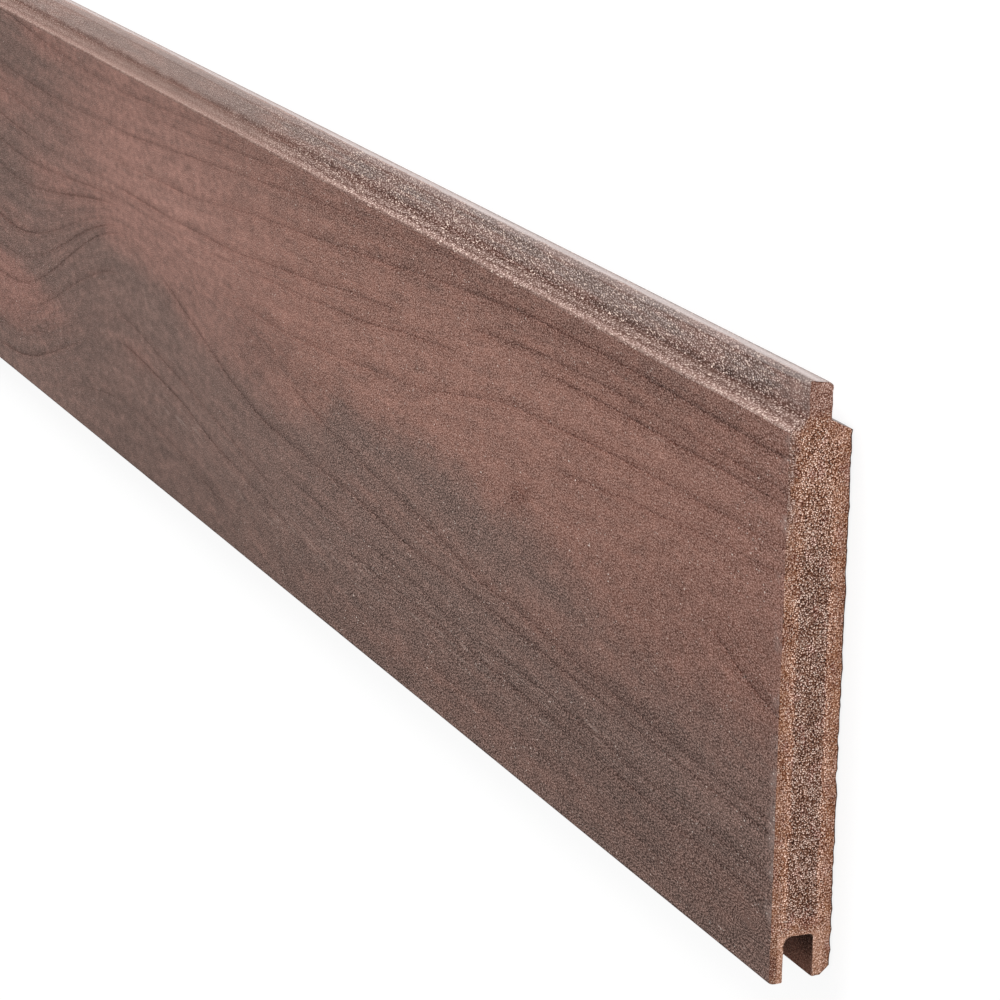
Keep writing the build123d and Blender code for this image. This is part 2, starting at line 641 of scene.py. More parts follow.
def skin_points():
    """Places of the skin's points in metres, its four-sided faces, and what the finishes read."""
    along, height, depth, grain, stain, zone, around, level, girth = ring_arrays()
    rings, columns = height.shape
    normal_height, normal_depth = outward(height, depth)
    sink, set_back = relief(along, height, depth, grain, zone, around)
    worn = edge_wear(along, height, depth)
    points = np.stack([board_length / 2 - along - set_back,
                       height - worn - normal_height * sink - middle_height,
                       depth - normal_depth * sink], axis=2).reshape(-1, 3) * millimetre

    ring = np.arange(rings - 1)[:, None] * columns
    column = np.arange(columns)[None, :]
    after = (column + 1) % columns
    quads = np.stack([ring + column, ring + after, ring + columns + after, ring + columns + column],
                     axis=2).reshape(-1, 4)
    quad_zones = np.broadcast_to(zone, (rings - 1, columns)).reshape(-1)
    flow = np.stack([along, np.broadcast_to(level, along.shape)], axis=2).reshape(-1, 2)
    unrolled = np.stack([along, girth], axis=2).reshape(-1, 2)
    fields = {
        "grain": grain.reshape(-1),
        "stain": stain.reshape(-1),
        "streaky": patch_sum(streaky_patches, along, height).reshape(-1),
        "redness": redness(along, height).reshape(-1),
        "lightness": lightness(along, height).reshape(-1),
        "sandiness": sandiness(along, height).reshape(-1),
    }
    return points, quads, quad_zones, flow * millimetre, unrolled * millimetre, fields, columns


# The sawn ends

# How far a cut is set in: everywhere, by its roughness, and by the saw's arcs
least_inset = 0.05
rough_inset = 0.16
arc_inset = 0.05

# The step between points on a cut, and the seeds of both cuts
fill_step = 0.85
near_seed = 31
far_seed = 32

# The middle of the saw's arcs, and the step between them over 2 pi
saw_middle = (-210.0, 60.0)
arc_scale = 1.35


def inside_outline(places, outline):
    """True where an upright line up from the place crosses the outline an odd number of times."""
    end = np.roll(outline, -1, axis=0)
    across = places[:, :1]
    up = places[:, 1:]
    spans = (outline[:, 0] > across) != (end[:, 0] > across)
    run = end[:, 0] - outline[:, 0]
    slope = (end[:, 1] - outline[:, 1]) / np.where(run == 0.0, 1.0, run)
    crossing = outline[:, 1] + (across - outline[:, 0]) * slope
    return (spans & (up < crossing)).sum(axis=1) % 2 == 1


def fill_outline(outline, step, seed):
    """A shaken square grid of places inside an outline, and triangles that join both.

    It gives the places, each one's distance from the outline, and the triangles' corners.
    """
    random = np.random.default_rng(seed)
    shake = 0.25
    least_gap = 0.45 * step
    low = outline.min(axis=0)
    high = outline.max(axis=0)
    places = np.stack(np.meshgrid(np.arange(low[0], high[0], step), np.arange(low[1], high[1], step),
                                  indexing="ij"), axis=2).reshape(-1, 2)
    places = places + random.uniform(-shake, shake, places.shape) * step
    places = places[inside_outline(places, outline)]
    gaps = np.linalg.norm(places[:, None, :] - outline[None, :, :], axis=2).min(axis=1)
    places = places[gaps > least_gap]
    gaps = gaps[gaps > least_gap]
    loop = list(range(len(outline)))
    rim = list(zip(loop, loop[1:] + loop[:1]))
    corners = [Vector(place) for place in np.concatenate([outline, places])]
    inside_only = 1
    nearness = 1e-9
    made = delaunay_2d_cdt(corners, rim, [loop], inside_only, nearness)
    triangles = np.array(made[2])
    source = np.array([origin[0] for origin in made[3]])
    return places, gaps, source[triangles]


def sawn_end(points, rim, sign, seed, first_new):
    """A sawn end on the side of that sign: its new points, their depth in the stock, triangles.

    The cut is rough: noise sets each point in, and broad arcs are left by the saw's swing.
    """
    outline = points[rim][:, 1:]
    places, gaps, triangles = fill_outline(outline, fill_step * millimetre, seed)
    across = places[:, 0] / millimetre
    up = places[:, 1] / millimetre
    rough = unit_noise(across, up, seed)
    swing = np.hypot(across - saw_middle[0], up - saw_middle[1])
    waver = 1.5 * soft_noise(across / 9.0, up / 9.0, seed + 9)
    arcs = 0.5 + 0.5 * np.sin(swing / arc_scale + waver)
    inset = least_inset + rough_inset * rough + arc_inset * arcs
    x = sign * (board_length / 2 - inset) * millimetre
    corners = np.concatenate([rim, first_new + np.arange(len(places))])[triangles]
    if sign < 0:
        corners = corners[:, ::-1]
    return np.column_stack([x, places]), gaps, corners


# The board

def make_board():
    """Joins the skin and both ends into one closed mesh."""
    points, quads, zones, flow, unrolled, fields, columns = skin_points()
    near_rim = np.arange(columns)
    far_rim = len(points) - columns + near_rim
    near_points, near_gaps, near_faces = sawn_end(points, near_rim, 1.0, near_seed, len(points))
    far_start = len(points) + len(near_points)
    far_points, far_gaps, far_faces = sawn_end(points, far_rim, -1.0, far_seed, far_start)
    triangles = np.concatenate([near_faces, far_faces])
    end_points = np.concatenate([near_points, far_points])
    places = np.concatenate([points, end_points])

    mesh = bpy.data.meshes.new("board_surface")
    mesh.from_pydata(places.tolist(), [], quads.tolist() + triangles.tolist())
    face_zones = np.concatenate([zones, np.full(len(triangles), end_zone)])
    mesh.polygons.foreach_set("material_index", face_zones.astype(np.int32))
    mesh.polygons.foreach_set("use_smooth", np.ones(len(face_zones), dtype=bool))
    on_ends = np.zeros(len(end_points))
    for name, values in fields.items():
        store(mesh, name, np.concatenate([values, on_ends]))
    gaps = np.concatenate([near_gaps, far_gaps])
    store(mesh, "cut_depth", np.concatenate([np.zeros(len(points)), gaps / millimetre]))
    unwrap(mesh, "flow", flow, quads.size, places)
    unwrap(mesh, "unrolled", unrolled, quads.size, places)
    sharpen(mesh, np.concatenate([near_rim, far_rim]))
    board = bpy.data.objects.new("board_surface", mesh)
    bpy.context.collection.objects.link(board)
    return board


def store(mesh, name, values):
    """Keeps one number for each point, for a finish to read."""
    layer = mesh.attributes.new(name, "FLOAT", "POINT")
    layer.data.foreach_set("value", values.astype(np.float32))


def unwrap(mesh, name, skin_map, skin_corners, places):
    """Adds a UV map: the skin as the skin map gives it, and the flat ends as they are."""
    corners = np.empty(len(mesh.loops), dtype=np.int32)
    mesh.loops.foreach_get("vertex_index", corners)
    unwrapped = places[corners, 1:]
    unwrapped[:skin_corners] = skin_map[corners[:skin_corners]]
    layer = mesh.uv_layers.new(name=name)
    layer.data.foreach_set("uv", unwrapped.reshape(-1))


def sharpen(mesh, rims):
    """Marks the saw cuts' rims as sharp edges, so that the shading doesn't run over them."""
    ends = np.empty(len(mesh.edges) * 2, dtype=np.int32)
    mesh.edges.foreach_get("vertices", ends)
    on_rim = np.isin(ends.reshape(-1, 2), rims).all(axis=1)
    sharp = mesh.attributes.new("sharp_edge", "BOOLEAN", "EDGE")
    sharp.data.foreach_set("value", on_rim)


# Colours, as linear red, green and blue
white = (1.0, 1.0, 1.0)
red_brown = (0.285, 0.150, 0.118)
rose_brown = (0.281, 0.152, 0.124)
grey_brown = (0.186, 0.122, 0.103)
face_grain = (0.235, 0.160, 0.138)
pale_fleck = (0.62, 0.50, 0.44)
bright_fleck = (0.95, 0.82, 0.74)
# Warm flecks of the shoulder and tongue, which also stand in as painted glints
warm_fleck_and_glint = (0.98, 0.78, 0.67)
rim_dust = (0.31, 0.225, 0.200)
line_stain = (0.40, 0.31, 0.29)
shoulder_pale = (0.300, 0.193, 0.164)
shoulder_dull = (0.236, 0.154, 0.130)
edge_shade = (0.57, 0.50, 0.48)
# Dirt, and painted shade in the crease at the tongue's root
reddish_dirt_and_shade = (0.56, 0.465, 0.435)
tongue_grey = (0.285, 0.209, 0.186)
tongue_pink = (0.325, 0.212, 0.182)
# The tongue's pale top: wear, and painted light
pale_wear_and_painted_light = (0.545, 0.472, 0.455)
groove_dark = (0.185, 0.088, 0.062)
groove_brown = (0.240, 0.112, 0.080)
groove_grain = (0.150, 0.090, 0.070)
cut_skin = (0.334, 0.167, 0.111)
cut_core = (0.236, 0.127, 0.090)
cut_upper = (0.360, 0.183, 0.120)
cut_orange = (0.322, 0.144, 0.076)
cut_pink = (0.318, 0.150, 0.114)
cut_tongue = (0.302, 0.160, 0.121)
cut_line = (0.445, 0.228, 0.148)
cut_rim = (0.292, 0.178, 0.146)
cut_wall = (0.610, 0.350, 0.250)
cut_pale = (1.0, 0.80, 0.68)
cut_dark = (0.045, 0.018, 0.010)

# No grain makes a colour darker than this: linear, and in screen brightness, which is the linear
# value to the power of 1 / gamma
darkest = (0.030, 0.014, 0.010)
darkest_shown = (0.20, 0.12, 0.09)
screen_gamma = 2.2

# Sizes of the sandy grains on the show face, on the other skins and on the cuts, in metres
face_sand = 0.00056
skin_sand = 0.00060
cut_sand = 0.00056
skin_grain_stretch = 1.8

# Shifts that keep the different sets of grains apart, in metres
pit_shift = 0.0013
fleck_shift = 0.0023
torn_shift = 0.0031
large_fleck_shift = 0.0037
dust_shift = 0.0051

# Knots of the show face: distance from the sawn end, height, half length, half height, turn
knots = [
    (160.0, 86.5, 9.0, 4.0, 0.3),
    (742.0, 36.0, 7.0, 3.2, 0.2),
    (1012.0, 118.0, 6.0, 2.6, -0.1),
    (1389.0, 71.0, 8.0, 3.4, 0.2),
    (1618.0, 29.0, 6.0, 2.8, -0.2),
]

# Dark nicks of the sawn ends: height, distance up from the back, half height, half depth
nicks = [
    (140.2, 17.4, 1.3, 0.3),
    (111.4, 17.7, 1.7, 0.3),
    (98.3, 17.7, 0.6, 0.35),
    (63.3, 0.4, 1.1, 0.4),
]

# Both lists as the finishes read them, in metres: middle, half sizes, turn. A nick marks both
# ends alike, so its half length is far more than the board's.
through = 1000.0
knot_places = [
    (((board_length / 2 - along) * millimetre, (height - middle_height) * millimetre,
      board_thickness * millimetre), (half_length * millimetre, half_height * millimetre, 1.0), turn)
    for along, height, half_length, half_height, turn in knots
]
nick_places = [
    ((0.0, (height - middle_height) * millimetre, depth * millimetre),
     (through, half_height * millimetre, half_depth * millimetre), 0.0)
    for height, depth, half_height, half_depth in nicks
]


# Finishes

class Finish:
    """A material in the making, with short ways to add and wire its nodes.

    Its places are in metres: along the board from its middle, across it, and up from its back.
    """

    def __init__(self, name, grain_stretch=skin_grain_stretch):
        self.grain_stretch = grain_stretch
        self.material = bpy.data.materials.new(name)
        self.material.use_nodes = True
        self.tree = self.material.node_tree
        self.shader = self.tree.nodes["Principled BSDF"]
        self.place = self.tree.nodes.new("ShaderNodeTexCoord").outputs["Object"]
        parts = self.tree.nodes.new("ShaderNodeSeparateXYZ")
        self.feed(parts.inputs["Vector"], self.place)
        self.along = parts.outputs["X"]
        self.across = parts.outputs["Y"]
        self.up = parts.outputs["Z"]

    def feed(self, socket, value):
        """Wires a socket to a node's output, or sets its value."""
        if isinstance(value, bpy.types.NodeSocket):
            self.tree.links.new(value, socket)
        else:
            socket.default_value = value

    def attribute(self, name):
        """A number kept on the mesh."""
        node = self.tree.nodes.new("ShaderNodeAttribute")
        node.attribute_name = name
        return node.outputs["Fac"]

    def uv_map(self, name):
        """A UV map of the mesh."""
        node = self.tree.nodes.new("ShaderNodeUVMap")
        node.uv_map = name
        return node.outputs["UV"]

    def maths(self, operation, first, second=0.0):
        """The result of a Math node."""
        node = self.tree.nodes.new("ShaderNodeMath")
        node.operation = operation
        self.feed(node.inputs[0], first)
        self.feed(node.inputs[1], second)
        return node.outputs["Value"]

    def times(self, first, *others):
        """The product of values."""
        for other in others:
            first = self.maths("MULTIPLY", first, other)
        return first

    def plus(self, first, *others):
        """The sum of values."""
        for other in others:
            first = self.maths("ADD", first, other)
        return first

    def minus(self, first, second):
        """The first value less the second."""
        return self.maths("SUBTRACT", first, second)

    def largest(self, first, *others):
        """The largest of values."""
        for other in others:
            first = self.maths("MAXIMUM", first, other)
        return first

    def apart(self, first, second):
        """How far two values are apart."""
        return self.maths("ABSOLUTE", self.minus(first, second))

    def swing(self, value, amount):
        """amount x (value - 0.5): noise about 0.5, made to swing about 0."""
        return self.times(self.minus(value, 0.5), amount)

    def factor(self, value, amount, middle=0.5):
        """1 + amount x (value - middle): a factor about 1."""
        return self.plus(self.times(self.minus(value, middle), amount), 1.0)

    def mapped(self, place, shift=(0.0, 0.0, 0.0), scale=(1.0, 1.0, 1.0), turn=0.0):
        """A place moved, turned about the third axis and stretched."""
        node = self.tree.nodes.new("ShaderNodeMapping")
        node.vector_type = "TEXTURE"
        self.feed(node.inputs["Vector"], place)
        node.inputs["Location"].default_value = shift
        node.inputs["Rotation"].default_value = (0.0, 0.0, turn)
        node.inputs["Scale"].default_value = scale
        return node.outputs["Vector"]

    def noise(self, size, detail=2.0, place=None, roughness=0.5):
        """Cloudy noise about 0.5, with features of this size in metres, or in each direction."""
        stretch = size if isinstance(size, tuple) else (size, size, size)
        node = self.tree.nodes.new("ShaderNodeTexNoise")
        self.feed(node.inputs["Vector"], self.mapped(place or self.place, scale=stretch))
        node.inputs["Scale"].default_value = 1.0
        node.inputs["Detail"].default_value = detail
        node.inputs["Roughness"].default_value = roughness
        return node.outputs["Fac"]

    def grains(self, size, shift=0.0):
        """Packed grains: a random number for each, and the distance from its middle.

        They have this size across the board, and are longer along it by the finish's stretch.
        """
        node = self.tree.nodes.new("ShaderNodeTexVoronoi")
        node.voronoi_dimensions = "2D"
        place = self.mapped(self.uv_map("unrolled"), shift=(shift, shift, 0.0),
                            scale=(self.grain_stretch * size, size, 1.0))
        self.feed(node.inputs["Vector"], place)
        node.inputs["Scale"].default_value = 1.0
        parts = self.tree.nodes.new("ShaderNodeSeparateColor")
        self.feed(parts.inputs["Color"], node.outputs["Color"])
        return parts.outputs["Red"], node.outputs["Distance"]

    def ramp(self, value, low, high, to_low=0.0, to_high=1.0):
        """A soft step: to_low below low, to_high above high."""
        node = self.tree.nodes.new("ShaderNodeMapRange")
        node.interpolation_type = "SMOOTHSTEP"
        self.feed(node.inputs["Value"], value)
        node.inputs["From Min"].default_value = low
        node.inputs["From Max"].default_value = high
        node.inputs["To Min"].default_value = to_low
        node.inputs["To Max"].default_value = to_high
        return node.outputs["Result"]

    def mixed(self, amount, first, second):
        """A colour between two."""
        node = self.tree.nodes.new("ShaderNodeMix")
        node.data_type = "RGBA"
        for name, colour in (("A", first), ("B", second)):
            value = (*colour, 1.0) if isinstance(colour, tuple) else colour
            self.feed(node.inputs[name], value)
        self.feed(node.inputs["Factor"], amount)
        return node.outputs["Result"]

    def vector_maths(self, operation, *values):
        """The node of a sum on vectors or colours."""
        node = self.tree.nodes.new("ShaderNodeVectorMath")
        node.operation = operation
        for socket, value in zip(node.inputs, values):
            self.feed(socket, value)
        return node

    def multiplied(self, first, second):
        """The product of two colours."""
        return self.vector_maths("MULTIPLY", first, second).outputs["Vector"]

    def scaled(self, colour, *factors):
        """A colour times factors."""
        node = self.vector_maths("SCALE", colour)
        self.feed(node.inputs["Scale"], self.times(*factors))
        return node.outputs["Vector"]

    def grained(self, colour, factor, tint):
        """A colour + tint x (factor - 1), so dark grains turn redder and pale ones greyer."""
        moved = self.vector_maths("MULTIPLY_ADD", self.minus(factor, 1.0), tint, colour)
        return self.vector_maths("MAXIMUM", moved.outputs["Vector"], darkest).outputs["Vector"]

    def power(self, colour, exponent):
        """A colour with its red, green and blue raised to a power."""
        node = self.tree.nodes.new("ShaderNodeGamma")
        self.feed(node.inputs["Color"], colour)
        node.inputs["Gamma"].default_value = exponent
        return node.outputs["Color"]

    def lifted(self, colour, lift):
        """A colour made lighter or darker by the same step of screen brightness in each channel."""
        shown = self.power(colour, 1.0 / screen_gamma)
        moved = self.vector_maths("ADD", shown, lift).outputs["Vector"]
        held = self.vector_maths("MAXIMUM", moved, darkest_shown).outputs["Vector"]
        return self.power(held, screen_gamma)

    def close_up(self, colour, height, depth, roughness=0.8, specular=0.12):
        """Sets the shader: its colour, the small relief of this depth in metres, and its gloss."""
        bump = self.tree.nodes.new("ShaderNodeBump")
        bump.inputs["Distance"].default_value = depth
        self.feed(bump.inputs["Height"], height)
        self.feed(self.shader.inputs["Normal"], bump.outputs["Normal"])
        self.feed(self.shader.inputs["Base Color"], colour)
        self.shader.inputs["Roughness"].default_value = roughness
        self.shader.inputs["Specular IOR Level"].default_value = specular
        return self.material


# Grains and marks that the finishes share

def domes(finish, size, shift=0.0):
    """Round bright grains: (u + 0.5) x a soft step down from each grain's middle, less the mean."""
    shade, far = finish.grains(size, shift)
    dome = finish.ramp(far, 0.0, 0.55, 1.0, 0.0)
    mean = 0.26
    return finish.minus(finish.times(finish.plus(shade, 0.5), dome), mean)


def sand(finish, size, pitted):
    """Height of fine sand: a dome on each grain, less pitted x a second, finer set of domes."""
    pits = finish.times(domes(finish, size * 0.9, pit_shift), pitted)
    return finish.minus(domes(finish, size), pits)


def sandy_factor(finish, height, contrast):
    """1 + contrast x the sand's height, and never under 0.1: a factor for the sand's colour."""
    return finish.largest(finish.plus(finish.times(height, contrast), 1.0), 0.1)


def flecks(finish, size, share, shift=fleck_shift):
    """Sparse pale flecks: 1 inside the grains whose random number is over 1 - share."""
    pick, far = finish.grains(size, shift)
    chosen = finish.ramp(pick, 1.0 - share, 1.0 - share * 0.6)
    return finish.times(chosen, finish.ramp(far, 0.32, 0.65, 1.0, 0.0))


def nearest_mark(finish, places):
    """A point's distance from the nearest mark's middle, over that mark's half sizes."""
    far_from_all = 9.0
    nearest = far_from_all
    for middle, half_sizes, turn in places:
        place = finish.mapped(finish.place, middle, half_sizes, turn)
        far = finish.vector_maths("LENGTH", place).outputs["Value"]
        nearest = finish.maths("MINIMUM", far, nearest)
    return nearest


# The show face's finish

def face_colour(finish, streak, hairs, mottle):
    """Grey-brown to red-brown, as the mesh's redness and some noise say, with pale streaks and
    scuffs.
    """
    red = finish.plus(finish.attribute("redness"), finish.swing(streak, 0.8), finish.swing(mottle, 0.75))
    warm = finish.mixed(finish.ramp(finish.along, 0.42, 0.62), rose_brown, red_brown)
    colour = finish.mixed(finish.ramp(red, -0.35, 1.35), grey_brown, warm)
    pale = finish.times(finish.attribute("streaky"), finish.ramp(hairs, 0.55, 0.70), 0.32)
    colour = finish.mixed(pale, colour, pale_fleck)
    scuffs = finish.noise((0.0045, 0.0016, 0.002), detail=3.0)
    return finish.mixed(finish.ramp(scuffs, 0.70, 0.80, 0.0, 0.25), colour, pale_fleck)


def line_and_knot_stain(finish):
    """What the pressed lines and the knots multiply the colour by. Noise breaks both up."""
    broken = finish.ramp(finish.noise(0.0016, detail=3.0, roughness=0.6), 0.25, 0.65, 0.6, 1.0)
    towards_cut = finish.ramp(finish.along, 0.62, 0.75, 1.0, 1.2)
    line = finish.plus(finish.times(finish.attribute("grain"), 0.38),
                       finish.times(finish.attribute("stain"), 0.32))
    ragged = finish.times(finish.noise(0.0016, detail=3.0), 0.5)
    knot = finish.ramp(finish.plus(nearest_mark(finish, knot_places), ragged), 0.3, 1.6, 0.5, 0.0)
    return finish.mixed(finish.largest(finish.times(line, broken, towards_cut), knot), white, line_stain)


def with_sawdust(finish, colour):
    """The colour with pale dust in patches close to both cuts, and brighter spots in the dust."""
    near_cut = finish.ramp(finish.maths("ABSOLUTE", finish.along), 0.8945, 0.8998)
    dust = finish.times(near_cut, finish.ramp(finish.noise(0.008, detail=3.0), 0.46, 0.62))
    colour = finish.mixed(finish.times(dust, 0.5), colour, rim_dust)
    spots = flecks(finish, 0.0005, 0.08, dust_shift)
    return finish.mixed(finish.times(spots, dust, 0.6), colour, bright_fleck)


def face_specks(finish, sandy):
    """Small flecks and a few larger ones, in loose clusters, where the face is sandy."""
    clusters = finish.ramp(finish.noise(0.012, detail=2.0), 0.35, 0.65, 0.15, 1.0)
    small = finish.times(flecks(finish, 0.00036, 0.010), 0.6)
    large = finish.times(flecks(finish, 0.0005, 0.001, large_fleck_shift), 0.7)
    return finish.times(finish.largest(small, large), clusters, sandy)


def face_finish():
    """The show face: red-brown and grey-brown sandy skin, stained along its pressed lines."""
    finish = Finish("pressed_grain_skin")
    flow = finish.uv_map("flow")
    streak = finish.noise((0.045, 0.0032, 1.0), detail=3.0, place=flow, roughness=0.6)
    hairs = finish.noise((0.016, 0.0008, 1.0), detail=2.0, place=flow, roughness=0.6)
    mottle = finish.noise((0.009, 0.005, 0.005), detail=4.0, roughness=0.65)
    blotch = finish.noise((0.0045, 0.0025, 0.0025), detail=2.0)
    sandy = finish.attribute("sandiness")
    colour = finish.multiplied(face_colour(finish, streak, hairs, mottle), line_and_knot_stain(finish))
    colour = finish.scaled(
        colour,
        finish.factor(finish.attribute("lightness"), 0.25, middle=0.0),
        finish.factor(streak, 0.4),
        finish.factor(hairs, 0.3),
        finish.factor(mottle, 0.35),
        finish.factor(blotch, finish.ramp(finish.along, 0.40, 0.62, 0.65, 0.35)))
    height = sand(finish, face_sand, 0.6)
    grit = sandy_factor(finish, height, finish.times(sandy, 0.98))
    colour = with_sawdust(finish, finish.grained(colour, grit, face_grain))
    colour = finish.mixed(face_specks(finish, sandy), colour, bright_fleck)
    return finish.close_up(colour, height, depth=0.00006)


# The shoulder's finish

def with_shoulder_edge(finish, colour):
    """The colour with the outer edge rubbed pale in spots, partly a painted highlight, and in painted
    shade further from the cut.
    """
    # Pale spots on the outer edge: rubbed, and partly a painted highlight
    rubbed_and_lit = finish.times(finish.ramp(finish.up, 0.0168, 0.0177),
                          finish.ramp(finish.noise(0.0012), 0.42, 0.62), 0.3)
    colour = finish.mixed(rubbed_and_lit, colour, pale_fleck)
    # Painted shade on the top of the outer edge, further from the cut
    shade = finish.times(finish.ramp(finish.along, 0.78, 0.88, 1.0, 0.19),
                         finish.ramp(finish.up, 0.0173, 0.0178))
    return finish.multiplied(colour, finish.mixed(shade, white, edge_shade))


def shoulder_finish():
    """The sloping shoulder above the show face: pale at its outer edge, with a dark line half-way
    down, and dirt with painted shade in the crease at the tongue's root.
    """
    finish = Finish("worn_shoulder_skin")
    sandy = finish.attribute("sandiness")
    mottle = finish.noise((0.016, 0.004, 0.004), detail=5.0, roughness=0.7)
    wander = finish.swing(mottle, 0.004)
    down = finish.minus(finish.up, wander)
    colour = finish.mixed(finish.ramp(down, 0.0150, 0.0172), shoulder_dull, shoulder_pale)
    colour = finish.scaled(colour, finish.factor(mottle, 0.8))
    line = finish.times(finish.ramp(finish.apart(down, 0.0157), 0.0002, 0.0008, 0.65, 0.0), sandy)
    # Painted shade with dirt in the crease at the tongue's root, stronger towards the cut
    low = finish.minus(finish.up, finish.times(wander, 0.4))
    root = finish.times(finish.ramp(low, 0.0134, 0.0146, 1.0, 0.0),
                        finish.ramp(finish.along, 0.45, 0.68, 0.5, 1.0))
    colour = finish.multiplied(colour, finish.mixed(finish.largest(line, root), white, reddish_dirt_and_shade))
    height = sand(finish, skin_sand, 0.3)
    colour = finish.lifted(colour, finish.times(height, sandy, 0.31))
    colour = with_shoulder_edge(finish, colour)
    # Warm flecks, which also stand in as painted glints
    specks_and_glints = finish.times(flecks(finish, 0.00045, 0.06), finish.maths("POWER", sandy, 2.0), 0.6)
    colour = finish.mixed(specks_and_glints, colour, warm_fleck_and_glint)
    return finish.close_up(colour, height, depth=0.00007)


# The tongue's finish

def tongue_colour(finish, sandy, patches, clouds, rougher):
    """Grey with pink patches, blotchier and a little darker towards the cut."""
    blotch = finish.noise((0.0045, 0.0016, 0.0016), detail=2.0)
    pink = finish.times(finish.ramp(patches, 0.38, 0.62), finish.plus(sandy, 0.1))
    return finish.scaled(
        finish.mixed(pink, tongue_grey, tongue_pink),
        finish.factor(sandy, -0.16, middle=1.0),
        finish.factor(patches, 0.25),
        finish.factor(clouds, 0.38),
        finish.factor(blotch, finish.plus(rougher, 0.35)),
        finish.ramp(finish.along, 0.38, 0.66, 1.12, 0.935),
        finish.ramp(finish.along, 0.82, 0.89, 1.0, 0.94))


def tongue_dirt_and_shade(finish, sandy, clouds):
    """Dirt and painted shade on the show side: painted shade with dirt in the crease at the root, wider
    near the cut, and dirt in two lines below the top.
    """
    wander = finish.swing(clouds, 0.003)
    low = finish.plus(finish.across, wander)
    # The root and the wide band near the cut are painted shade in the crease, with dirt
    root = finish.ramp(low, 0.0708, 0.0736, 1.0, 0.0)
    wide = finish.times(finish.ramp(finish.along, 0.76, 0.88),
                        finish.ramp(low, 0.0715, 0.0768, 0.5, 0.0))
    soft_line = finish.times(finish.ramp(finish.apart(low, 0.0782), 0.0002, 0.0007, 0.25, 0.0), sandy)
    top_edge = finish.plus(finish.across, finish.times(wander, 0.2))
    edge_line = finish.times(finish.ramp(finish.apart(top_edge, 0.0783), 0.0001, 0.0005, 0.6, 0.0),
                             finish.ramp(finish.along, 0.82, 0.88, 0.35, 1.0))
    return finish.largest(root, wide, soft_line, edge_line)


def with_worn_and_lit_top(finish, colour, sandy, patches, clouds):
    """The colour with the tongue's top pale up to an uneven line, partly worn and partly painted light,
    and a darker show corner.
    """
    uneven = finish.plus(finish.swing(patches, 0.0025), finish.times(finish.minus(1.0, sandy), 0.0008),
                         finish.swing(clouds, 0.0016))
    worn_to = finish.ramp(finish.along, 0.45, 0.80, -0.0006, 0.0)
    from_line = finish.minus(finish.plus(finish.up, uneven), worn_to)
    # The pale top: partly wear, partly painted light where it faces the light
    top = finish.times(finish.ramp(finish.across, 0.0787, 0.0795),
                       finish.ramp(from_line, 0.0106, 0.0119, 1.0, 0.0))
    long_streak = finish.noise((0.02, 0.002, 0.0009), detail=3.0, roughness=0.6)
    soft = finish.noise(0.0009, detail=3.0, roughness=0.7)
    worn = finish.scaled(pale_wear_and_painted_light, finish.factor(soft, 0.5), finish.factor(long_streak, 0.6),
                         finish.ramp(finish.up, 0.0068, 0.0084, 0.6, 1.0))
    colour = finish.mixed(top, colour, worn)
    corner = finish.times(finish.ramp(finish.apart(finish.up, 0.0123), 0.0002, 0.0007, 0.3, 0.0),
                          finish.ramp(finish.across, 0.0791, 0.0797))
    return finish.scaled(colour, finish.minus(1.0, corner))


def tongue_finish():
    """The tongue: grey and pink, rougher than the face, dirty and in painted shade at its root, and pale
    on top from wear and painted light.
    """
    finish = Finish("rough_tongue_skin")
    sandy = finish.attribute("sandiness")
    patches = finish.noise((0.04, 0.004, 0.02), detail=4.0, roughness=0.6)
    clouds = finish.noise((0.010, 0.0022, 0.004), detail=3.0, roughness=0.6)
    rougher = finish.ramp(finish.along, 0.80, 0.88)
    show_side = finish.ramp(finish.up, 0.0112, 0.0120)
    colour = tongue_colour(finish, sandy, patches, clouds, rougher)
    dirt_and_shade = finish.times(tongue_dirt_and_shade(finish, sandy, clouds), show_side)
    colour = finish.multiplied(colour, finish.mixed(dirt_and_shade, white, reddish_dirt_and_shade))

    calm = finish.ramp(finish.along, 0.868, 0.894, 1.0, 0.6)
    contrast = finish.plus(finish.times(rougher, 0.08), 0.34)
    height = sand(finish, skin_sand, 0.2)
    colour = finish.lifted(colour, finish.times(height, sandy, contrast, calm))
    # Warm flecks, which also stand in as painted glints
    specks_and_glints = finish.times(flecks(finish, 0.00045, 0.10), finish.maths("POWER", sandy, 1.5), calm, 0.85)
    colour = finish.mixed(specks_and_glints, colour, warm_fleck_and_glint)
    # A painted highlight on the show side just under the top's rounded corner
    rim = finish.times(finish.ramp(finish.across, 0.0783, 0.0787, 0.0, 0.2), show_side)
    colour = finish.mixed(rim, colour, pale_wear_and_painted_light)
    colour = with_worn_and_lit_top(finish, colour, sandy, patches, clouds)
    ledge = finish.times(finish.ramp(finish.up, 0.0058, 0.0064, 1.0, 0.0),
                         finish.ramp(finish.across, 0.0695, 0.0705, 0.95, 0.0))
    colour = finish.mixed(ledge, colour, pale_wear_and_painted_light)
    return finish.close_up(colour, height, depth=0.00008)


# The finishes of the back and of the groove

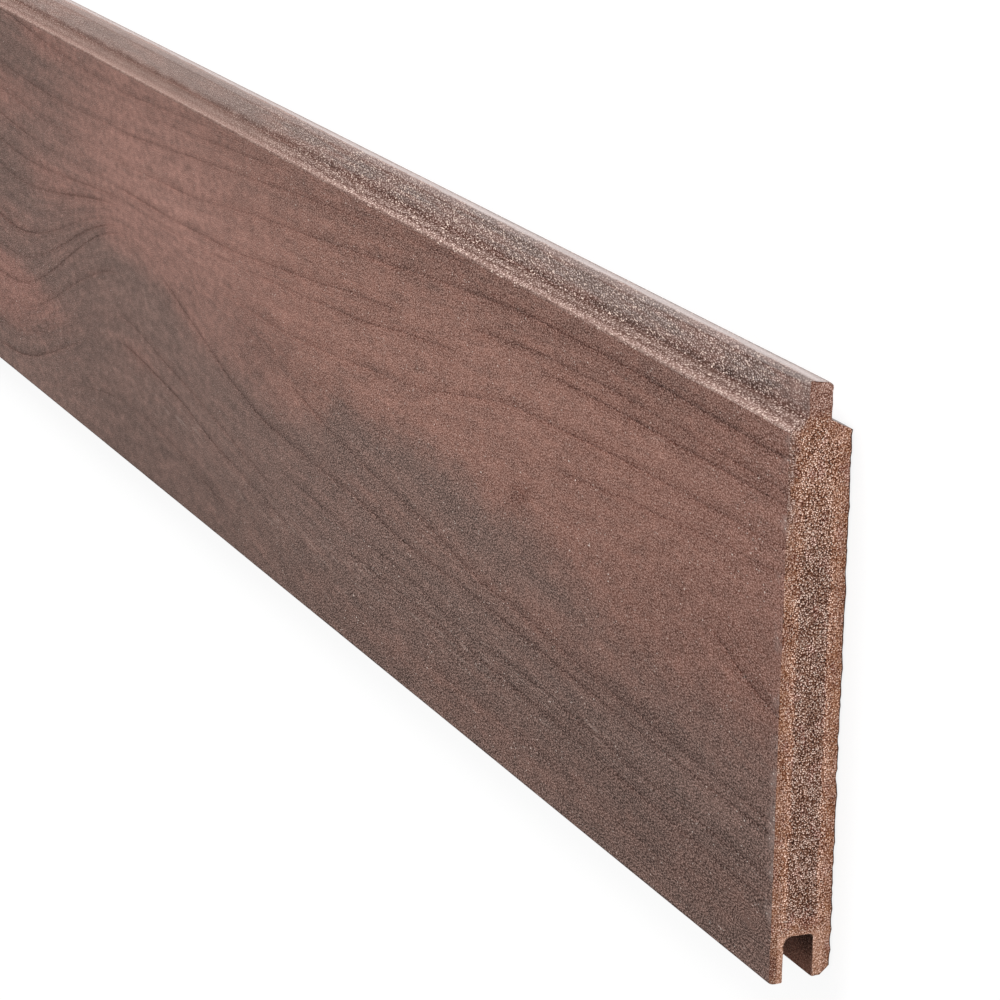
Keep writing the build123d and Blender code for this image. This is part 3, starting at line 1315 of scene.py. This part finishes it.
def back_finish():
    """The back: grey-brown and red-brown skin in long streaks, plainer than the show face."""
    finish = Finish("plain_back_skin")
    streak = finish.noise((0.09, 0.006, 0.02), detail=3.0, roughness=0.6)
    mottle = finish.noise(0.008, detail=4.0, roughness=0.6)
    height = sand(finish, skin_sand, 0.5)
    colour = finish.mixed(finish.ramp(streak, 0.36, 0.66), grey_brown, red_brown)
    colour = finish.scaled(colour, finish.factor(mottle, 0.4), finish.factor(streak, 0.4))
    colour = finish.grained(colour, sandy_factor(finish, height, 0.9), face_grain)
    colour = finish.mixed(flecks(finish, 0.00046, 0.012), colour, bright_fleck)
    return finish.close_up(colour, height, depth=0.00007, roughness=0.82)


def groove_finish():
    """Inside the groove: dark rough skin, with painted shade that is deepest at the groove's inner end.
    """
    finish = Finish("dark_groove_skin")
    mottle = finish.noise(0.006, detail=3.0, roughness=0.6)
    height = sand(finish, skin_sand, 0.5)
    colour = finish.mixed(finish.ramp(mottle, 0.35, 0.65), groove_dark, groove_brown)
    # Painted shade, deepening towards the groove's inner end
    colour = finish.scaled(colour, finish.ramp(finish.across, -0.0785, -0.0685, 1.0, 0.3))
    colour = finish.grained(colour, sandy_factor(finish, height, 0.8), groove_grain)
    return finish.close_up(colour, height, depth=0.0001, roughness=0.85, specular=0.1)


# The sawn ends' finish

def cut_layers(finish, edge, deep, inside, cloud, tongue):
    """The cut's colours: skin and core, orange and pink stains, the tongue, the torn show skin."""
    hue = finish.noise((1.0, 0.006, 0.0032), detail=3.0, roughness=0.6)
    outer = finish.mixed(finish.ramp(finish.across, 0.018, 0.044), cut_skin, cut_upper)
    outer = finish.mixed(finish.ramp(deep, 1.5, 4.0), cut_skin, outer)
    core = finish.times(inside, finish.ramp(finish.across, 0.024, 0.056, 1.0, 0.15),
                        finish.ramp(cloud, 0.30, 0.52, 0.75, 1.0))
    colour = finish.mixed(core, outer, cut_core)
    orange = finish.times(finish.ramp(hue, 0.46, 0.62, 0.0, 0.7), finish.ramp(deep, 2.2, 4.2, 1.0, 0.3))
    colour = finish.mixed(orange, colour, cut_orange)
    colour = finish.mixed(finish.ramp(hue, 0.34, 0.46, 0.6, 0.0), colour, cut_pink)
    colour = finish.mixed(tongue, colour, cut_tongue)
    ragged = finish.plus(edge, finish.swing(hue, 5.0))
    torn_skin = finish.times(finish.ramp(ragged, 0.8, 2.4, 0.85, 0.0),
                             finish.ramp(finish.across, 0.028, 0.050),
                             finish.ramp(finish.up, 0.0125, 0.0140))
    colour = finish.mixed(torn_skin, colour, cut_rim)
    return finish.scaled(colour, finish.ramp(finish.up, 0.0045, 0.0070, 1.1, 1.0))


def pale_seam(finish, deep, cloud):
    """How strongly the pale seam shows. It lies about 3.6 mm under the skin round the lower part
    of the cut, and runs further up along the back.
    """
    rear = finish.ramp(finish.up, 0.0070, 0.0090, 1.0, 0.0)
    seam_depth = finish.plus(finish.times(rear, 0.3), 3.6)
    seam = finish.ramp(finish.apart(deep, seam_depth), 0.2, 1.0, 1.0, 0.0)
    low_part = finish.ramp(finish.across, 0.006, 0.022, 1.0, 0.0)
    rear_part = finish.times(rear, finish.ramp(finish.across, 0.058, 0.066, 1.0, 0.0))
    beside_middle = finish.ramp(finish.apart(finish.up, 0.0097), 0.0030, 0.0042)
    above_groove = finish.ramp(finish.across, -0.0635, -0.0605)
    return finish.times(seam, finish.largest(low_part, rear_part),
                        finish.ramp(cloud, 0.35, 0.6, 0.9, 0.5),
                        finish.largest(beside_middle, above_groove))


def with_lips(finish, colour, lips):
    """The colour with both lips beside the groove paler, and the show lip's skin a little darker."""
    wall = finish.times(lips, finish.ramp(finish.up, 0.0147, 0.0163, 0.8, 0.0),
                        finish.ramp(finish.up, 0.0016, 0.0030))
    colour = finish.mixed(wall, colour, cut_wall)
    shade = finish.times(lips, finish.ramp(finish.up, 0.0154, 0.0162, 0.0, 0.2))
    return finish.scaled(colour, finish.minus(1.0, shade))


def torn_grains(finish, colour, deep, inside, tongue, lips):
    """The colour with torn grains on it, pale and dark ones among them, and the grains' height."""
    rough = finish.noise(0.0010, detail=3.0, roughness=0.75)
    clumps = finish.noise(0.0024, detail=1.0)
    drifts = finish.noise((1.0, 0.009, 0.005), detail=1.0)
    grain = sand(finish, cut_sand, 0.6)
    torn = finish.times(finish.ramp(deep, 1.5, 4.5, 0.7, 1.0), finish.factor(lips, -0.2, middle=0.0),
                        finish.factor(tongue, -0.15, middle=0.0))
    lift = finish.plus(finish.times(grain, 0.62), finish.swing(rough, 0.3), finish.swing(clumps, 0.32))
    lift = finish.plus(finish.times(lift, torn), finish.swing(drifts, 0.25), -0.01)
    colour = finish.lifted(colour, lift)
    pick, far = finish.grains(0.00050, torn_shift)
    lively = finish.times(finish.minus(inside, tongue), 0.03)
    pale = finish.times(finish.ramp(finish.plus(pick, lively), 0.91, 0.96),
                        finish.ramp(far, 0.15, 0.5, 0.95, 0.0), torn)
    colour = finish.mixed(pale, colour, cut_pale)
    pits = finish.times(finish.ramp(finish.minus(pick, lively), 0.05, 0.09, 1.0, 0.0),
                        finish.ramp(far, 0.2, 0.55, 0.8, 0.0), torn)
    return finish.mixed(pits, colour, cut_dark), finish.plus(grain, rough)


def dark_rim(finish, edge):
    """How dark the cut's rim is: in broken marks all round, along the back edge and in nicks."""
    broken = finish.ramp(finish.noise(0.004, detail=3.0, roughness=0.6), 0.48, 0.62, 0.1, 0.6)
    back_shoulder = finish.times(finish.ramp(finish.across, 0.0655, 0.0665),
                                 finish.ramp(finish.up, 0.0060, 0.0066, 0.8, 0.0))
    rim = finish.times(finish.ramp(edge, 0.2, 0.45, 1.0, 0.0), broken,
                       finish.minus(1.0, back_shoulder))
    rear_rim = finish.times(finish.ramp(edge, 0.25, 0.5, 0.85, 0.0),
                            finish.ramp(finish.up, 0.0005, 0.0009, 1.0, 0.0))
    nick = finish.ramp(nearest_mark(finish, nick_places), 0.6, 1.2, 0.85, 0.0)
    return finish.largest(rim, rear_rim, nick)


def sawn_finish():
    """The sawn ends: torn grains of flour and plastic. From the skin inwards the cut is red-brown,
    has a pale seam and then a darker core, which fades out towards the tongue. Depths in the cut
    are in millimetres.
    """
    finish = Finish("sawn_composite", grain_stretch=1.0)
    edge = finish.attribute("cut_depth")
    deep = finish.plus(edge, finish.swing(finish.noise(0.006, detail=2.0), 1.8))
    cloud = finish.noise((1.0, 0.03, 0.007), detail=2.0)
    inside = finish.ramp(deep, 3.9, 5.2)
    tongue = finish.ramp(finish.across, 0.0690, 0.0725)
    lips = finish.ramp(finish.across, -0.0680, -0.0655, 1.0, 0.0)
    colour = cut_layers(finish, edge, deep, inside, cloud, tongue)
    colour = finish.mixed(pale_seam(finish, deep, cloud), colour, cut_line)
    colour = with_lips(finish, colour, lips)
    colour, height = torn_grains(finish, colour, deep, inside, tongue, lips)
    colour = finish.mixed(dark_rim(finish, edge), colour, cut_dark)
    return finish.close_up(colour, height, depth=0.00012, roughness=0.75, specular=0.15)


# The finished board

board = make_board()
in_zone_order = [face_finish(), shoulder_finish(), tongue_finish(), back_finish(), groove_finish(),
                 sawn_finish()]
for material in in_zone_order:
    board.data.materials.append(material)
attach(board, "root")
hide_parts("fence_board")


# The room

def floor_material():
    """A pale floor that the camera sees almost white, with the board's soft shadow on it."""
    light_grey = (0.75, 0.75, 0.75, 1.0)
    shadow_grey = (0.22, 0.22, 0.22, 1.0)
    glow_strength = 0.85
    material = bpy.data.materials.new("pale_floor")
    material.use_nodes = True
    tree = material.node_tree
    tree.nodes.clear()
    out = tree.nodes.new("ShaderNodeOutputMaterial")
    path = tree.nodes.new("ShaderNodeLightPath")
    lit = tree.nodes.new("ShaderNodeBsdfDiffuse")
    lit.inputs["Color"].default_value = light_grey
    seen = tree.nodes.new("ShaderNodeBsdfDiffuse")
    seen.inputs["Color"].default_value = shadow_grey
    glow = tree.nodes.new("ShaderNodeEmission")
    glow.inputs["Strength"].default_value = glow_strength
    both = tree.nodes.new("ShaderNodeAddShader")
    choose = tree.nodes.new("ShaderNodeMixShader")
    tree.links.new(seen.outputs[0], both.inputs[0])
    tree.links.new(glow.outputs[0], both.inputs[1])
    tree.links.new(path.outputs["Is Camera Ray"], choose.inputs[0])
    tree.links.new(lit.outputs[0], choose.inputs[1])
    tree.links.new(both.outputs[0], choose.inputs[2])
    tree.links.new(choose.outputs[0], out.inputs[0])
    return material


def make_floor():
    """A wide floor just under the board."""
    reach = 12.0
    below = -0.0004
    mesh = bpy.data.meshes.new("floor")
    mesh.from_pydata([(-reach, -reach, below), (reach, -reach, below), (reach, reach, below),
                      (-reach, reach, below)], [], [(0, 1, 2, 3)])
    mesh.materials.append(floor_material())
    floor = bpy.data.objects.new("floor", mesh)
    bpy.context.collection.objects.link(floor)


def soft_lamp(name, place, aim, size, watts):
    """A round lamp at a place, turned to its aim."""
    data = bpy.data.lights.new(name, "AREA")
    data.energy = watts
    data.shape = "DISK"
    data.size = size
    lamp = bpy.data.objects.new(name, data)
    lamp.location = place
    lamp.rotation_euler = (Vector(aim) - Vector(place)).to_track_quat("-Z", "Y").to_euler()
    bpy.context.collection.objects.link(lamp)


def light_room():
    """Even light from all round, a large key lamp on the tongue's side and a fill by the camera."""
    even_light = 0.40
    world = bpy.data.worlds.new("studio")
    bpy.context.scene.world = world
    world.use_nodes = True
    tree = world.node_tree
    around = tree.nodes["Background"]
    around.inputs["Strength"].default_value = even_light
    around.inputs["Color"].default_value = (1.0, 1.0, 1.0, 1.0)
    seen = tree.nodes.new("ShaderNodeBackground")
    seen.inputs["Strength"].default_value = 1.0
    path = tree.nodes.new("ShaderNodeLightPath")
    choose = tree.nodes.new("ShaderNodeMixShader")
    tree.links.new(path.outputs["Is Camera Ray"], choose.inputs[0])
    tree.links.new(around.outputs[0], choose.inputs[1])
    tree.links.new(seen.outputs[0], choose.inputs[2])
    tree.links.new(choose.outputs[0], tree.nodes["World Output"].inputs[0])
    soft_lamp("key", place=(0.0, 2.5, 1.35), aim=(0.3, 0.0, 0.0), size=1.5, watts=78.0)
    soft_lamp("fill", place=(3.2, 0.3, 1.0), aim=(0.6, 0.0, 0.0), size=1.6, watts=30.0)


def set_camera():
    """The photo's camera, lying on its side: its right and forward directions are given."""
    place = Vector((1.6916, 0.3177, 0.4494))
    right = Vector((0.40384, 0.01573, -0.91469))
    forward = Vector((-0.87459, -0.28663, -0.39107))
    up = right.cross(forward)
    data = bpy.data.cameras.new("camera")
    data.sensor_width = 36.0
    data.lens = 137.06
    data.clip_start = 0.05
    data.clip_end = 50.0
    camera = bpy.data.objects.new("camera", data)
    turn = Matrix((right, up, -forward)).transposed().to_4x4()
    camera.matrix_world = Matrix.Translation(place) @ turn
    bpy.context.collection.objects.link(camera)
    bpy.context.scene.camera = camera


make_floor()
light_room()
set_camera()
bpy.context.scene.view_settings.view_transform = "Standard"
